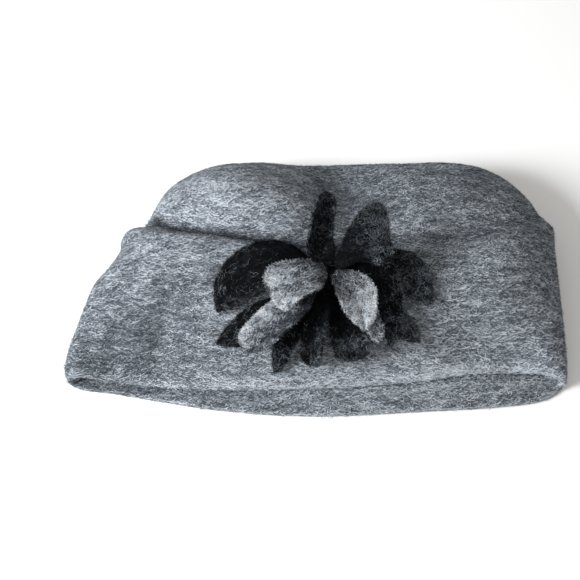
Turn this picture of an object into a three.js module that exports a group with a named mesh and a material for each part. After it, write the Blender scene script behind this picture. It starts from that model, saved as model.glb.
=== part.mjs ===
// A soft wool felt cap that lies on its back, flattened, with a tuck across its front and a flower
// of felt petals sewn on beside the tuck. Millimetres, +Z up. X runs across the opening, +Y runs
// from the opening to the crown, and the back of the cap lies on the plane Z = 0.
import * as THREE from "three";

// Driving sizes of the cap
const RIM_WIDTH = 290; // across the flattened opening, fold to fold
const CAP_LENGTH = 162; // from the back rim to the end of the crown
const PUFF = 38; // how high the front stands over the table
const FOLD_HEIGHT = 17; // height of the side folds over the table
const END_REACH = 40; // how far in from the end of the crown the front is still rising
const WALL = 3; // thickness of the felt
const RIM_GAP = 7; // clear height between the two layers at the opening
const TUCK_HEIGHT = 6.5; // how far the folded edge of the tuck stands over the crown
const LIP = 1.2; // how far the rounded edge of the felt stands out at the rim
const SIDE_REACH = 52; // how far in from a side fold the front is still rising, over its highest part

// Driving sizes of the flower
const FLOWER_ACROSS = 0.0286; // place of its core, as a share of the rim width
const FLOWER_ALONG = -0.091; // and as a share of the cap length
const FLOWER_RADIUS = 60; // the length of an ordinary petal
const PETAL_FELT = 2.2; // thickness of the petals
const PETAL_ROOT = 4.8; // width of a petal where it is sewn to the core
const CORE_RADIUS = 7;
const CORE_HEIGHT = 15.5;
const SEAT_GAP = 0.3; // clearance between pieces that touch

// Resolution of the faceted solids
const CAP_COLUMNS = 40;
const PETAL_COLUMNS = 6;
const PETAL_ROWS = 10;

// The outline and the height of the cap, a row for each section from the opening to the crown.
// left_x and right_x are shares of the rim width, left_y and right_y of the cap length, and
// fold and puff are shares of FOLD_HEIGHT and PUFF.
const SECTIONS = [
  { along: 0.0, left_x: -0.495, left_y: -0.377, right_x: 0.498, right_y: -0.383, fold: 0.38, puff: 0 },
  { along: 0.04, left_x: -0.5, left_y: -0.343, right_x: 0.5, right_y: -0.335, fold: 0.47, puff: 0.16 },
  { along: 0.1, left_x: -0.495, left_y: -0.284, right_x: 0.5, right_y: -0.272, fold: 0.59, puff: 0.34 },
  { along: 0.2, left_x: -0.482, left_y: -0.204, right_x: 0.4995, right_y: -0.198, fold: 0.74, puff: 0.56 },
  { along: 0.32, left_x: -0.467, left_y: -0.111, right_x: 0.498, right_y: -0.105, fold: 0.83, puff: 0.76 },
  { along: 0.44, left_x: -0.45, left_y: -0.022, right_x: 0.497, right_y: -0.018, fold: 0.89, puff: 0.91 },
  { along: 0.52, left_x: -0.4224, left_y: 0.046, right_x: 0.496, right_y: 0.056, fold: 0.94, puff: 0.98 },
  { along: 0.58, left_x: -0.4017, left_y: 0.111, right_x: 0.4955, right_y: 0.123, fold: 1.0, puff: 1.0 },
  { along: 0.63, left_x: -0.4, left_y: 0.16, right_x: 0.4975, right_y: 0.173, fold: 1.0, puff: 1.0 },
  { along: 0.67, left_x: -0.388, left_y: 0.1975, right_x: 0.4965, right_y: 0.213, fold: 1.0, puff: 0.98 },
  { along: 0.7, left_x: -0.3586, left_y: 0.216, right_x: 0.486, right_y: 0.2407, fold: 0.97, puff: 0.93 },
  { along: 0.73, left_x: -0.345, left_y: 0.259, right_x: 0.472, right_y: 0.2685, fold: 0.97, puff: 0.93 },
  { along: 0.8, left_x: -0.3276, left_y: 0.33, right_x: 0.457, right_y: 0.321, fold: 1.0, puff: 0.97 },
  { along: 0.87, left_x: -0.307, left_y: 0.389, right_x: 0.437, right_y: 0.3735, fold: 1.0, puff: 0.97 },
  { along: 0.93, left_x: -0.279, left_y: 0.432, right_x: 0.4155, right_y: 0.4167, fold: 1.0, puff: 0.94 },
  { along: 0.97, left_x: -0.248, left_y: 0.46, right_x: 0.395, right_y: 0.441, fold: 1.0, puff: 0.92 },
  { along: 1.0, left_x: -0.2138, left_y: 0.478, right_x: 0.3724, right_y: 0.46, fold: 1.0, puff: 0.9 },
];

// How the lines across the cap bow, as shares of the cap length, and how strongly the tuck is folded.
const BOWS = [
  { across: 0.0, front_rim: 0.0, back_rim: 0.0, tuck: 0.0, end: 0.0, folded: 0.0 },
  { across: 0.03, front_rim: 0.006, back_rim: -0.019, tuck: -0.036, end: 0.014, folded: 0.85 },
  { across: 0.08, front_rim: 0.003, back_rim: -0.03, tuck: -0.085, end: 0.028, folded: 1.0 },
  { across: 0.18, front_rim: -0.014, back_rim: -0.062, tuck: -0.125, end: 0.033, folded: 1.0 },
  { across: 0.3, front_rim: -0.026, back_rim: -0.096, tuck: -0.165, end: 0.027, folded: 1.0 },
  { across: 0.4, front_rim: -0.026, back_rim: -0.113, tuck: -0.188, end: 0.033, folded: 1.0 },
  { across: 0.5, front_rim: -0.019, back_rim: -0.118, tuck: -0.188, end: 0.036, folded: 0.5 },
  { across: 0.6, front_rim: -0.01, back_rim: -0.112, tuck: -0.17, end: 0.036, folded: 0.2 },
  { across: 0.72, front_rim: 0.01, back_rim: -0.097, tuck: -0.158, end: 0.037, folded: 0.18 },
  { across: 0.82, front_rim: 0.034, back_rim: -0.087, tuck: -0.14, end: 0.044, folded: 0.18 },
  { across: 0.92, front_rim: 0.033, back_rim: -0.068, tuck: -0.085, end: 0.036, folded: 0.15 },
  { across: 0.97, front_rim: 0.018, back_rim: -0.043, tuck: -0.036, end: 0.018, folded: 0.1 },
  { across: 1.0, front_rim: 0.0, back_rim: 0.0, tuck: 0.0, end: 0.0, folded: 0.0 },
];

// Soft hollows (deep > 0) and ridges (deep < 0) of the front. x is a share of the rim width, y, long
// and wide of the cap length, deep of PUFF, and turn is the angle of the long side from X, in degrees.
const DENTS = [
  { name: "crown_valley", x: 0.05, y: 0.36, turn: 112, long: 0.26, wide: 0.13, deep: 0.26 },
  { name: "crown_left_lobe", x: -0.13, y: 0.3, turn: 150, long: 0.24, wide: 0.12, deep: -0.09 },
  { name: "crown_right_lobe", x: 0.24, y: 0.33, turn: 20, long: 0.22, wide: 0.14, deep: -0.05 },
  { name: "crevice_over_tuck", x: -0.17, y: 0.13, turn: -12, long: 0.45, wide: 0.06, deep: 0.1 },
  { name: "left_rim_crease", x: -0.29, y: -0.26, turn: 80, long: 0.24, wide: 0.055, deep: 0.09 },
  { name: "left_ear_hollow", x: -0.36, y: 0.06, turn: 60, long: 0.14, wide: 0.07, deep: 0.08 },
  { name: "right_rim_groove", x: 0.3, y: -0.25, turn: 2, long: 0.42, wide: 0.05, deep: 0.07 },
  { name: "right_rim_lift", x: 0.33, y: -0.35, turn: 2, long: 0.3, wide: 0.06, deep: -0.08 },
  { name: "right_ear_crease", x: 0.475, y: 0.165, turn: 40, long: 0.07, wide: 0.03, deep: 0.12 },
  { name: "right_side_swell", x: 0.33, y: 0.0, turn: 75, long: 0.3, wide: 0.16, deep: -0.04 },
];

// Rows of the front along the cap. flat is the row's place where the tuck has run out, folded its
// place where the tuck is pressed flat, and lift the height there, as a share of TUCK_HEIGHT.
const FRONT_ROWS = [
  { flat: 0.0, folded: 0.0, lift: 0 },
  { flat: 0.035, folded: 0.035, lift: 0 },
  { flat: 0.09, folded: 0.09, lift: 0 },
  { flat: 0.16, folded: 0.16, lift: 0 },
  { flat: 0.24, folded: 0.24, lift: 0 },
  { flat: 0.33, folded: 0.33, lift: 0 },
  { flat: 0.42, folded: 0.42, lift: 0.08 },
  { flat: 0.5, folded: 0.53, lift: 0.35 },
  { flat: 0.56, folded: 0.61, lift: 0.72 },
  { flat: 0.6, folded: 0.66, lift: 0.97 },
  { flat: 0.63, folded: 0.684, lift: 1.0 },
  { flat: 0.65, folded: 0.698, lift: 0.88 },
  { flat: 0.67, folded: 0.703, lift: 0.6 },
  { flat: 0.685, folded: 0.698, lift: 0.34 },
  { flat: 0.7, folded: 0.672, lift: 0.22 },
  { flat: 0.715, folded: 0.67, lift: 0.03 },
  { flat: 0.73, folded: 0.7, lift: 0.0 },
  { flat: 0.755, folded: 0.735, lift: 0.0 },
  { flat: 0.79, folded: 0.78, lift: 0.0 },
  { flat: 0.83, folded: 0.83, lift: 0 },
  { flat: 0.87, folded: 0.87, lift: 0 },
  { flat: 0.91, folded: 0.91, lift: 0 },
  { flat: 0.945, folded: 0.945, lift: 0 },
  { flat: 0.97, folded: 0.97, lift: 0 },
  { flat: 0.987, folded: 0.987, lift: 0 },
  { flat: 1.0, folded: 1.0, lift: 0 },
];
const LINING_ROWS = [0, 0.04, 0.1, 0.2, 0.33, 0.46, 0.58, 0.65, 0.7, 0.74, 0.78, 0.83, 0.88, 0.93, 0.975, 1];
const TUCK_LINE = 0.69; // place along the cap of the tuck's folded edge

// The petals. turn is the root's place round the core and tier its storey on the core. mid and tip
// are places right of, behind and above the core's foot: x and y are shares of FLOWER_RADIUS, and
// rise is the height over the cap there, as a share of CORE_HEIGHT. width is a share of
// FLOWER_RADIUS, widest is the place along the petal where it is widest, blunt is 2 for a round end
// and less for a pointed one, roll turns the petal about its own length, and cup is the half angle
// that its width is curled through, both in degrees.
const PETALS = [
  {
    name: "petal_top_spike", turn: 108, tier: 3, mid: [-0.13, 0.4, 1.25], tip: [0.0, 0.82, 1.3],
    width: 0.27, widest: 0.3, blunt: 2.6, roll: 30, cup: 84, tone: "dark",
  },
  {
    name: "petal_upper_right", turn: 36, tier: 3, mid: [0.28, 0.2, 1.45], tip: [0.62, 0.29, 1.5],
    width: 0.64, widest: 0.8, blunt: 2.8, roll: 14, cup: 26, tone: "dark",
  },
  {
    name: "petal_left", turn: 172, tier: 1, mid: [-0.58, 0.06, 0.66], tip: [-1.03, -0.2, 0.26],
    width: 0.46, widest: 0.55, blunt: 2.0, roll: 0, cup: 10, tone: "dark",
  },
  {
    name: "petal_light_left", turn: -166, tier: 3, mid: [-0.27, -0.14, 1.5], tip: [-0.58, -0.29, 1.3],
    width: 0.52, widest: 0.7, blunt: 3.0, roll: 6, cup: 26, tone: "light",
  },
  {
    name: "petal_light_lower_left", turn: -132, tier: 2, mid: [-0.4, -0.34, 1.0], tip: [-0.84, -0.66, 0.95],
    width: 0.36, widest: 0.55, blunt: 3.6, roll: -6, cup: 14, tone: "light",
  },
  {
    name: "petal_lower_left", turn: -148, tier: 1, mid: [-0.6, -0.36, 0.46], tip: [-1.08, -0.54, 0.3],
    width: 0.38, widest: 0.5, blunt: 1.5, roll: -12, cup: 8, tone: "dark",
  },
  {
    name: "petal_lower_spike", turn: -128, tier: 0, mid: [-0.39, -0.5, 0.2], tip: [-0.55, -0.83, 0.24],
    width: 0.2, widest: 0.35, blunt: 1.5, roll: 0, cup: 30, tone: "dark",
  },
  {
    name: "petal_lower_middle", turn: -102, tier: 1, mid: [-0.12, -0.45, 0.52], tip: [-0.19, -0.78, 0.36],
    width: 0.28, widest: 0.5, blunt: 2.8, roll: 10, cup: 80, tone: "dark",
  },
  {
    name: "petal_lower_right", turn: -76, tier: 0, mid: [0.13, -0.42, 0.4], tip: [0.22, -0.74, 0.5],
    width: 0.42, widest: 0.65, blunt: 2.6, roll: 0, cup: 34, tone: "dark",
  },
  {
    name: "petal_light_right", turn: -44, tier: 3, mid: [0.24, -0.28, 1.78], tip: [0.31, -0.65, 1.5],
    width: 0.42, widest: 0.45, blunt: 1.6, roll: 8, cup: 22, tone: "light",
  },
  {
    name: "petal_under_right", turn: -54, tier: 2, mid: [0.29, -0.38, 1.3], tip: [0.43, -0.67, 1.2],
    width: 0.18, widest: 0.6, blunt: 2.0, roll: 0, cup: 14, tone: "light",
  },
  {
    name: "petal_inner_right", turn: -10, tier: 1, mid: [0.39, -0.06, 0.8], tip: [0.54, -0.53, 0.7],
    width: 0.36, widest: 0.6, blunt: 2.4, roll: 0, cup: 4, tone: "dark",
  },
  {
    name: "petal_right", turn: 12, tier: 0, mid: [0.57, 0.07, 0.28], tip: [0.97, -0.18, 0.34],
    width: 0.42, widest: 0.7, blunt: 2.6, roll: 4, cup: 6, tone: "dark",
  },
  {
    name: "petal_far_right", turn: -33, tier: 0, mid: [0.47, -0.3, 0.3], tip: [0.85, -0.5, 0.36],
    width: 0.28, widest: 0.6, blunt: 2.2, roll: 12, cup: 6, tone: "dark",
  },
];

const COLOURS = {
  cap: new THREE.MeshStandardMaterial({ color: 0x85878b, roughness: 0.95, metalness: 0 }),
  dark: new THREE.MeshStandardMaterial({ color: 0x1f2023, roughness: 0.95, metalness: 0 }),
  light: new THREE.MeshStandardMaterial({ color: 0xa3a5a8, roughness: 0.95, metalness: 0 }),
};

const { cos, sin, sqrt, min, max, abs, PI } = Math;
const radians = (degrees) => (degrees * PI) / 180;
const mix = (a, b, share) => a + (b - a) * share;
const clamp01 = (v) => min(1, max(0, v));
const smooth = (v) => clamp01(v) ** 2 * (3 - 2 * clamp01(v));

// The value of a table's column at a place between its rows, on a smooth curve through them.
function through(table, place, column, at) {
  let i = 0;
  while (i < table.length - 2 && at > table[i + 1][place]) i += 1;
  const [a, b] = [table[i], table[i + 1]];
  const span = b[place] - a[place];
  const slopeAt = (k) => {
    const before = table[max(0, k - 1)];
    const after = table[min(table.length - 1, k + 1)];
    return (after[column] - before[column]) / (after[place] - before[place]);
  };
  const q = clamp01((at - a[place]) / span);
  return (
    (2 * q ** 3 - 3 * q ** 2 + 1) * a[column] +
    (q ** 3 - 2 * q ** 2 + q) * span * slopeAt(i) +
    (3 * q ** 2 - 2 * q ** 3) * b[column] +
    (q ** 3 - q ** 2) * span * slopeAt(i + 1)
  );
}

// The rise of a rounded fold at a distance in from its edge.
const bulge = (distance, radius) => sqrt(1 - (1 - clamp01(distance / radius)) ** 2);

// The place of a point of one layer seen from above, and its distance from the folds.
function plan(layer, across, along, inset) {
  const left = through(SECTIONS, "along", "left_x", along) * RIM_WIDTH + inset;
  const right = through(SECTIONS, "along", "right_x", along) * RIM_WIDTH - inset;
  const leftY = through(SECTIONS, "along", "left_y", along);
  const rightY = through(SECTIONS, "along", "right_y", along);
  const nearRim = 1 - smooth(along / TUCK_LINE);
  const nearEnd = smooth((along - TUCK_LINE) / (1 - TUCK_LINE));
  const bow =
    through(BOWS, "across", layer + "_rim", across) * nearRim +
    through(BOWS, "across", "tuck", across) * (1 - nearRim) * (1 - nearEnd) * (layer === "front" ? 1 : 0) +
    through(BOWS, "across", "end", across) * nearEnd;
  const x = mix(left, right, across);
  const y = (mix(leftY, rightY, across) + bow) * CAP_LENGTH - inset * along ** 3;
  return { x, y, side: min(x - left, right - x) };
}

// How much the dents lower the front at a place.
function dented(x, y) {
  return DENTS.reduce((sum, dent) => {
    const dx = x - dent.x * RIM_WIDTH;
    const dy = y - dent.y * CAP_LENGTH;
    const turn = radians(dent.turn);
    const u = (dx * cos(turn) + dy * sin(turn)) / (dent.long * CAP_LENGTH);
    const v = (dy * cos(turn) - dx * sin(turn)) / (dent.wide * CAP_LENGTH);
    return sum + dent.deep * PUFF * Math.exp(-u * u - v * v);
  }, 0);
}

// A point of the front or the back layer, at a depth into the felt.
function layerPoint(layer, across, along, inset) {
  const { x, y, side } = plan(layer, across, along, inset);
  const toEnd = max(0, plan(layer, across, 1, inset).y - y);
  const fold = through(SECTIONS, "along", "fold", along) * FOLD_HEIGHT;
  if (layer === "back") {
    const rounding = bulge(side, fold - inset / 2) * bulge(toEnd, fold - inset / 2);
    return new THREE.Vector3(x, y, fold - (fold - inset) * rounding);
  }
  const rimTop = 2 * WALL + RIM_GAP;
  const top = rimTop + through(SECTIONS, "along", "puff", along) * (PUFF - rimTop) - inset;
  const reach = SIDE_REACH * mix(0.12, 1, clamp01((top + inset - fold) / (PUFF - FOLD_HEIGHT)));
  const rounding = bulge(side, reach - inset) * bulge(toEnd, END_REACH - inset);
  const nearRim = 1 - smooth(along / 0.12);
  const z = fold + (top - fold) * rounding - dented(x, y) * rounding * (1 - 0.6 * nearRim);
  return new THREE.Vector3(x, y, z);
}

// A point of the outside of the front, with the tuck folded as strongly as it is there.
function frontPoint(across, row) {
  const folded = through(BOWS, "across", "folded", across);
  const point = layerPoint("front", across, mix(row.flat, row.folded, folded), 0);
  point.z += folded * row.lift * TUCK_HEIGHT;
  return point;
}

// Height of the outside of the front over a place, found by walking the front's own rows.
function capTop(x, y) {
  let [low, high] = [0, 1];
  let across = 0.5;
  for (let step = 0; step < 40; step += 1) {
    const along = (low + high) / 2;
    const left = through(SECTIONS, "along", "left_x", along) * RIM_WIDTH;
    const right = through(SECTIONS, "along", "right_x", along) * RIM_WIDTH;
    across = clamp01((x - left) / (right - left));
    if (plan("front", across, along, 0).y < y) low = along;
    else high = along;
  }
  const along = (low + high) / 2;
  const folded = through(BOWS, "across", "folded", across);
  const rows = FRONT_ROWS.map((row) => ({ at: mix(row.flat, row.folded, folded), lift: row.lift * folded }));
  const lift = rows.reduce((most, row, i) => {
    const next = rows[min(i + 1, rows.length - 1)];
    const [a, b] = row.at < next.at ? [row, next] : [next, row];
    if (along < a.at || along > b.at || a.at === b.at) return most;
    return max(most, mix(a.lift, b.lift, (along - a.at) / (b.at - a.at)));
  }, 0);
  return layerPoint("front", across, along, 0).z + lift * TUCK_HEIGHT;
}

// Collects points and faces of one closed surface.
class Surface {
  constructor() {
    this.points = [];
    this.faces = [];
  }
  add(point) {
    this.points.push(point);
    return this.points.length - 1;
  }
  // Joins two rows of points, facing the way that their order gives.
  strip(a, b) {
    for (let i = 0; i + 1 < a.length; i += 1) {
      this.faces.push([a[i], a[i + 1], b[i + 1]], [a[i], b[i + 1], b[i]]);
    }
  }
  strips(rows) {
    rows.slice(1).forEach((row, i) => this.strip(rows[i], row));
  }
  geometry() {
    const geometry = new THREE.BufferGeometry();
    const flat = this.points.flatMap((p) => [p.x, p.y, p.z]);
    geometry.setAttribute("position", new THREE.Float32BufferAttribute(flat, 3));
    geometry.setIndex(this.faces.filter(([a, b, c]) => a !== b && b !== c && c !== a).flat());
    geometry.computeVertexNormals();
    return geometry;
  }
}

// Places across the cap, closer together at the folds, where the felt turns.
const columns = Array.from({ length: CAP_COLUMNS + 1 }, (_, i) => {
  const even = i / CAP_COLUMNS;
  return mix(even, (1 - cos(even * PI)) / 2, 0.75);
});

// The two layers of one face of the felt, front and back, joined along the side and end folds.
function pouch(surface, frontRows, backRows) {
  const front = frontRows.map((row) => row.map((point) => surface.add(point)));
  const last = frontRows.length - 1;
  const back = backRows.map((row, j) =>
    row.map((point, i) => (j === last || i === 0 || i === CAP_COLUMNS ? front[j][i] : surface.add(point))),
  );
  return { front, back };
}

function capGeometry() {
  const surface = new Surface();
  const outside = pouch(
    surface,
    FRONT_ROWS.map((row) => columns.map((across) => frontPoint(across, row))),
    FRONT_ROWS.map((row) => columns.map((across) => layerPoint("back", across, row.flat, 0))),
  );
  const inside = pouch(
    surface,
    LINING_ROWS.map((along) => columns.map((across) => layerPoint("front", across, along, WALL))),
    LINING_ROWS.map((along) => columns.map((across) => layerPoint("back", across, along, WALL))),
  );
  surface.strips(outside.front);
  surface.strips(outside.back.map((row) => row.toReversed()));
  surface.strips(inside.front.map((row) => row.toReversed()));
  surface.strips(inside.back);
  // The rounded edge of the felt, all the way round the opening.
  const ring = ({ front, back }) => [...front[0], ...back[0].slice(1, -1).toReversed(), front[0][0]];
  const outer = ring(outside);
  const inner = ring(inside);
  const lip = outer.slice(0, -1).map((a, i) => {
    const middle = surface.points[a].clone().lerp(surface.points[inner[i]], 0.5);
    return surface.add(middle.add(new THREE.Vector3(0, -LIP, 0)));
  });
  surface.strips([inner, [...lip, lip[0]], outer]);
  return surface.geometry();
}

// The gathered knot of felt that the petals are sewn to.
function coreGeometry() {
  const waist = CORE_RADIUS * 0.94;
  const profile = [
    [0, 0],
    [waist, 0],
    [CORE_RADIUS, CORE_HEIGHT * 0.2],
    [CORE_RADIUS, CORE_HEIGHT * 0.8],
    [CORE_RADIUS * 0.72, CORE_HEIGHT * 0.97],
    [0, CORE_HEIGHT],
  ].map(([r, z]) => new THREE.Vector2(r, z));
  return new THREE.LatheGeometry(profile, 20).rotateX(PI / 2);
}

// The share of a petal's full width at a place along it.
function petalWidth(petal, q) {
  const rootShare = PETAL_ROOT / (petal.width * FLOWER_RADIUS);
  const opened = mix(rootShare, 1, smooth(q / petal.widest));
  const closing = petal.widest * 0.85;
  const ended = (1 - clamp01((q - closing) / (1 - closing)) ** petal.blunt) ** (1 / petal.blunt);
  return max(opened * ended, 0.06);
}

// The core stands on the highest place of the cap under it.
const flowerFoot = new THREE.Vector3(FLOWER_ACROSS * RIM_WIDTH, FLOWER_ALONG * CAP_LENGTH, 0);
const under = Array.from({ length: 12 }, (_, i) => radians(i * 30)).map((turn) =>
  capTop(flowerFoot.x + cos(turn) * CORE_RADIUS, flowerFoot.y + sin(turn) * CORE_RADIUS),
);
flowerFoot.z = max(...under) + SEAT_GAP;

// Three points on a petal's middle line, over the cap.
function petalLine(petal) {
  const turn = radians(petal.turn);
  const out = CORE_RADIUS + SEAT_GAP;
  const tierHeight = (CORE_HEIGHT - PETAL_FELT) / 4;
  const root = new THREE.Vector3(cos(turn) * out, sin(turn) * out, PETAL_FELT * 0.9 + petal.tier * tierHeight);
  root.add(flowerFoot);
  const [mid, tip] = [petal.mid, petal.tip].map(([x, y, rise]) => {
    const place = new THREE.Vector3(x * FLOWER_RADIUS, y * FLOWER_RADIUS, 0).add(flowerFoot);
    place.z = capTop(place.x, place.y) + rise * CORE_HEIGHT;
    return place;
  });
  const bend = mid.clone().multiplyScalar(2).addScaledVector(root, -0.5).addScaledVector(tip, -0.5);
  return new THREE.QuadraticBezierCurve3(root, bend, tip);
}

function petalGeometry(petal) {
  const line = petalLine(petal);
  const outward = new THREE.Vector3(cos(radians(petal.turn)), sin(radians(petal.turn)), 0);
  const cup = radians(petal.cup);
  const surface = new Surface();
  const upper = [];
  const under = [];
  for (let j = 0; j <= PETAL_ROWS; j += 1) {
    const even = j / PETAL_ROWS;
    const q = mix(even, sin((even * PI) / 2), 0.6);
    const along = line.getTangent(q).lerp(outward, 1 - smooth(q / 0.15)).normalize();
    const middle = line.getPoint(q);
    const side = new THREE.Vector3(0, 0, 1).cross(along).normalize();
    side.applyAxisAngle(along, radians(petal.roll) * smooth(q / 0.5));
    const up = along.clone().cross(side).normalize();
    const half = (petalWidth(petal, q) * petal.width * FLOWER_RADIUS) / 2;
    const curl = max(cup * smooth(q / 0.4), 0.02);
    const row = (offset) =>
      Array.from({ length: PETAL_COLUMNS + 1 }, (_, i) => {
        const angle = mix(-1, 1, i / PETAL_COLUMNS) * curl;
        const radius = half / curl;
        return surface.add(
          middle
            .clone()
            .addScaledVector(side, (radius - offset) * sin(angle))
            .addScaledVector(up, radius - (radius - offset) * cos(angle)),
        );
      });
    upper.push(row(PETAL_FELT / 2));
    under.push(row(-PETAL_FELT / 2));
  }
  surface.strips(upper.map((row) => row.toReversed()));
  surface.strips(under);
  const edge = (rows) => [
    ...rows[0],
    ...rows.slice(1, -1).map((row) => row.at(-1)),
    ...rows.at(-1).toReversed(),
    ...rows.slice(0, -1).toReversed().map((row) => row[0]),
  ];
  surface.strip(edge(upper), edge(under));
  return surface.geometry();
}

const cap = new THREE.Group();

function addPiece(name, geometry, material) {
  const mesh = new THREE.Mesh(geometry, material);
  mesh.name = name;
  cap.add(mesh);
  return mesh;
}

const shell = addPiece("cap_shell", capGeometry(), COLOURS.cap);
addPiece("flower_core", coreGeometry(), COLOURS.dark).position.copy(flowerFoot);
PETALS.forEach((petal) => addPiece(petal.name, petalGeometry(petal), COLOURS[petal.tone]));

// The origin is under the middle of the cap, on the table.
const box = new THREE.Box3().setFromObject(shell);
const middle = box.getCenter(new THREE.Vector3());
cap.children.forEach((piece) => piece.position.sub(new THREE.Vector3(middle.x, middle.y, box.min.z)));

export default cap;
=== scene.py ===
"""A soft wool felt cap with a flower of felt petals, lying on its back on a pale floor.

The cap is one shell of thick heather felt, pressed flat, with a tuck folded across its front. The
flower's petals are cut from charcoal and light heather felt and sewn to a gathered core. Sizes in
the tables and fields are millimetres unless they say otherwise, and meshes are made in metres.
"""

import logging
import math
from dataclasses import dataclass, field
from enum import Enum
from functools import partial
from typing import NamedTuple

import bpy
import numpy as np
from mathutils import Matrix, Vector, noise
from mathutils.bvhtree import BVHTree


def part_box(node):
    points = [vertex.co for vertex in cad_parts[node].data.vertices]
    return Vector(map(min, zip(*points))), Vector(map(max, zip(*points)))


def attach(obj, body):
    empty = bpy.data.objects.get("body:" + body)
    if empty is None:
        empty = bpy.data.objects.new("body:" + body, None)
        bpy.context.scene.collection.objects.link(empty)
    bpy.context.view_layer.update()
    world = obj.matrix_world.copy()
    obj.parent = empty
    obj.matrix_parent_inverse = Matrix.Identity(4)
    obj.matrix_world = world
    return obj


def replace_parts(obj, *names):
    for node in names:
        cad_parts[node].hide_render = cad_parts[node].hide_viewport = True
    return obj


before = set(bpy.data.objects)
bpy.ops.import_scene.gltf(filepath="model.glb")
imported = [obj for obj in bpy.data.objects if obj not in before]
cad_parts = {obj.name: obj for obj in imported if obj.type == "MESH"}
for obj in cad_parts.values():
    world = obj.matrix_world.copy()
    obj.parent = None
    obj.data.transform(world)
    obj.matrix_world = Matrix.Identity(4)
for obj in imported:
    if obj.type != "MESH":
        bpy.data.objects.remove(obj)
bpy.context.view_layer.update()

MM = 0.001
BODY = "root"
LOG = logging.getLogger("felt_cap")


class Section(NamedTuple):
    """One section of the cap from the opening to the crown, as shares of its named sizes."""

    along: float
    left_x: float
    left_y: float
    right_x: float
    right_y: float
    fold: float
    puff: float


class Bow(NamedTuple):
    """How the lines across the cap bow at one place across it, and how folded the tuck is."""

    across: float
    front_rim: float
    back_rim: float
    tuck: float
    end: float
    folded: float


class Patch(NamedTuple):
    """A soft oval place on the front, its size as shares of the cap's, and how strong it is."""

    name: str
    x: float
    y: float
    turn: float
    long: float
    wide: float
    amount: float


class FrontRow(NamedTuple):
    """A row of the front: its place flat, its place where the tuck is folded, and its lift."""

    flat: float
    folded: float
    lift: float


SECTIONS = [
    Section(0.0, -0.495, -0.377, 0.498, -0.383, 0.38, 0.0),
    Section(0.04, -0.5, -0.343, 0.5, -0.335, 0.47, 0.16),
    Section(0.1, -0.495, -0.284, 0.5, -0.272, 0.59, 0.34),
    Section(0.2, -0.482, -0.204, 0.4995, -0.198, 0.74, 0.56),
    Section(0.32, -0.467, -0.111, 0.498, -0.105, 0.83, 0.76),
    Section(0.44, -0.45, -0.022, 0.497, -0.018, 0.89, 0.91),
    Section(0.52, -0.4224, 0.046, 0.496, 0.056, 0.94, 0.98),
    Section(0.58, -0.4017, 0.111, 0.4955, 0.123, 1.0, 1.0),
    Section(0.63, -0.4, 0.16, 0.4975, 0.173, 1.0, 1.0),
    Section(0.67, -0.388, 0.1975, 0.4965, 0.213, 1.0, 0.98),
    Section(0.7, -0.3586, 0.216, 0.486, 0.2407, 0.97, 0.93),
    Section(0.73, -0.345, 0.259, 0.472, 0.2685, 0.97, 0.93),
    Section(0.8, -0.3276, 0.33, 0.457, 0.321, 1.0, 0.97),
    Section(0.87, -0.307, 0.389, 0.437, 0.3735, 1.0, 0.97),
    Section(0.93, -0.279, 0.432, 0.4155, 0.4167, 1.0, 0.94),
    Section(0.97, -0.248, 0.46, 0.395, 0.441, 1.0, 0.92),
    Section(1.0, -0.2138, 0.478, 0.3724, 0.46, 1.0, 0.9),
]

BOWS = [
    Bow(0.0, 0.0, 0.0, 0.0, 0.0, 0.0),
    Bow(0.03, 0.006, -0.019, -0.036, 0.014, 0.85),
    Bow(0.08, 0.003, -0.03, -0.085, 0.028, 1.0),
    Bow(0.18, -0.014, -0.062, -0.125, 0.033, 1.0),
    Bow(0.3, -0.026, -0.096, -0.165, 0.027, 1.0),
    Bow(0.4, -0.026, -0.113, -0.188, 0.033, 1.0),
    Bow(0.5, -0.019, -0.118, -0.188, 0.036, 0.75),
    Bow(0.6, -0.01, -0.112, -0.17, 0.036, 0.2),
    Bow(0.72, 0.01, -0.097, -0.158, 0.037, 0.18),
    Bow(0.82, 0.034, -0.087, -0.14, 0.044, 0.18),
    Bow(0.92, 0.033, -0.068, -0.085, 0.036, 0.15),
    Bow(0.97, 0.018, -0.043, -0.036, 0.018, 0.1),
    Bow(1.0, 0.0, 0.0, 0.0, 0.0, 0.0),
]

# Hollows of the front (over 0) and ridges (under 0), as shares of its puff.
DENTS = [
    Patch("crown_valley", 0.055, 0.37, 112.0, 0.28, 0.14, 0.4),
    Patch("crown_left_lobe", -0.14, 0.31, 150.0, 0.24, 0.12, -0.13),
    Patch("crown_right_lobe", 0.24, 0.33, 20.0, 0.22, 0.14, -0.05),
    Patch("crevice_over_tuck", -0.17, 0.13, -12.0, 0.45, 0.06, 0.1),
    Patch("left_rim_crease", -0.3, -0.26, 80.0, 0.22, 0.06, 0.12),
    Patch("left_low_hollow", -0.38, -0.22, 70.0, 0.2, 0.12, 0.1),
    Patch("left_ear_hollow", -0.36, 0.06, 60.0, 0.14, 0.07, 0.08),
    Patch("right_rim_groove", 0.3, -0.25, 2.0, 0.42, 0.045, 0.15),
    Patch("right_rim_lift", 0.33, -0.34, 2.0, 0.3, 0.05, -0.12),
    Patch("right_ear_crease", 0.475, 0.165, 40.0, 0.07, 0.03, 0.12),
    Patch("right_side_swell", 0.4, 0.0, 80.0, 0.34, 0.14, -0.1),
    Patch("left_band_swell", -0.16, -0.08, 40.0, 0.26, 0.15, -0.07),
]

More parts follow.
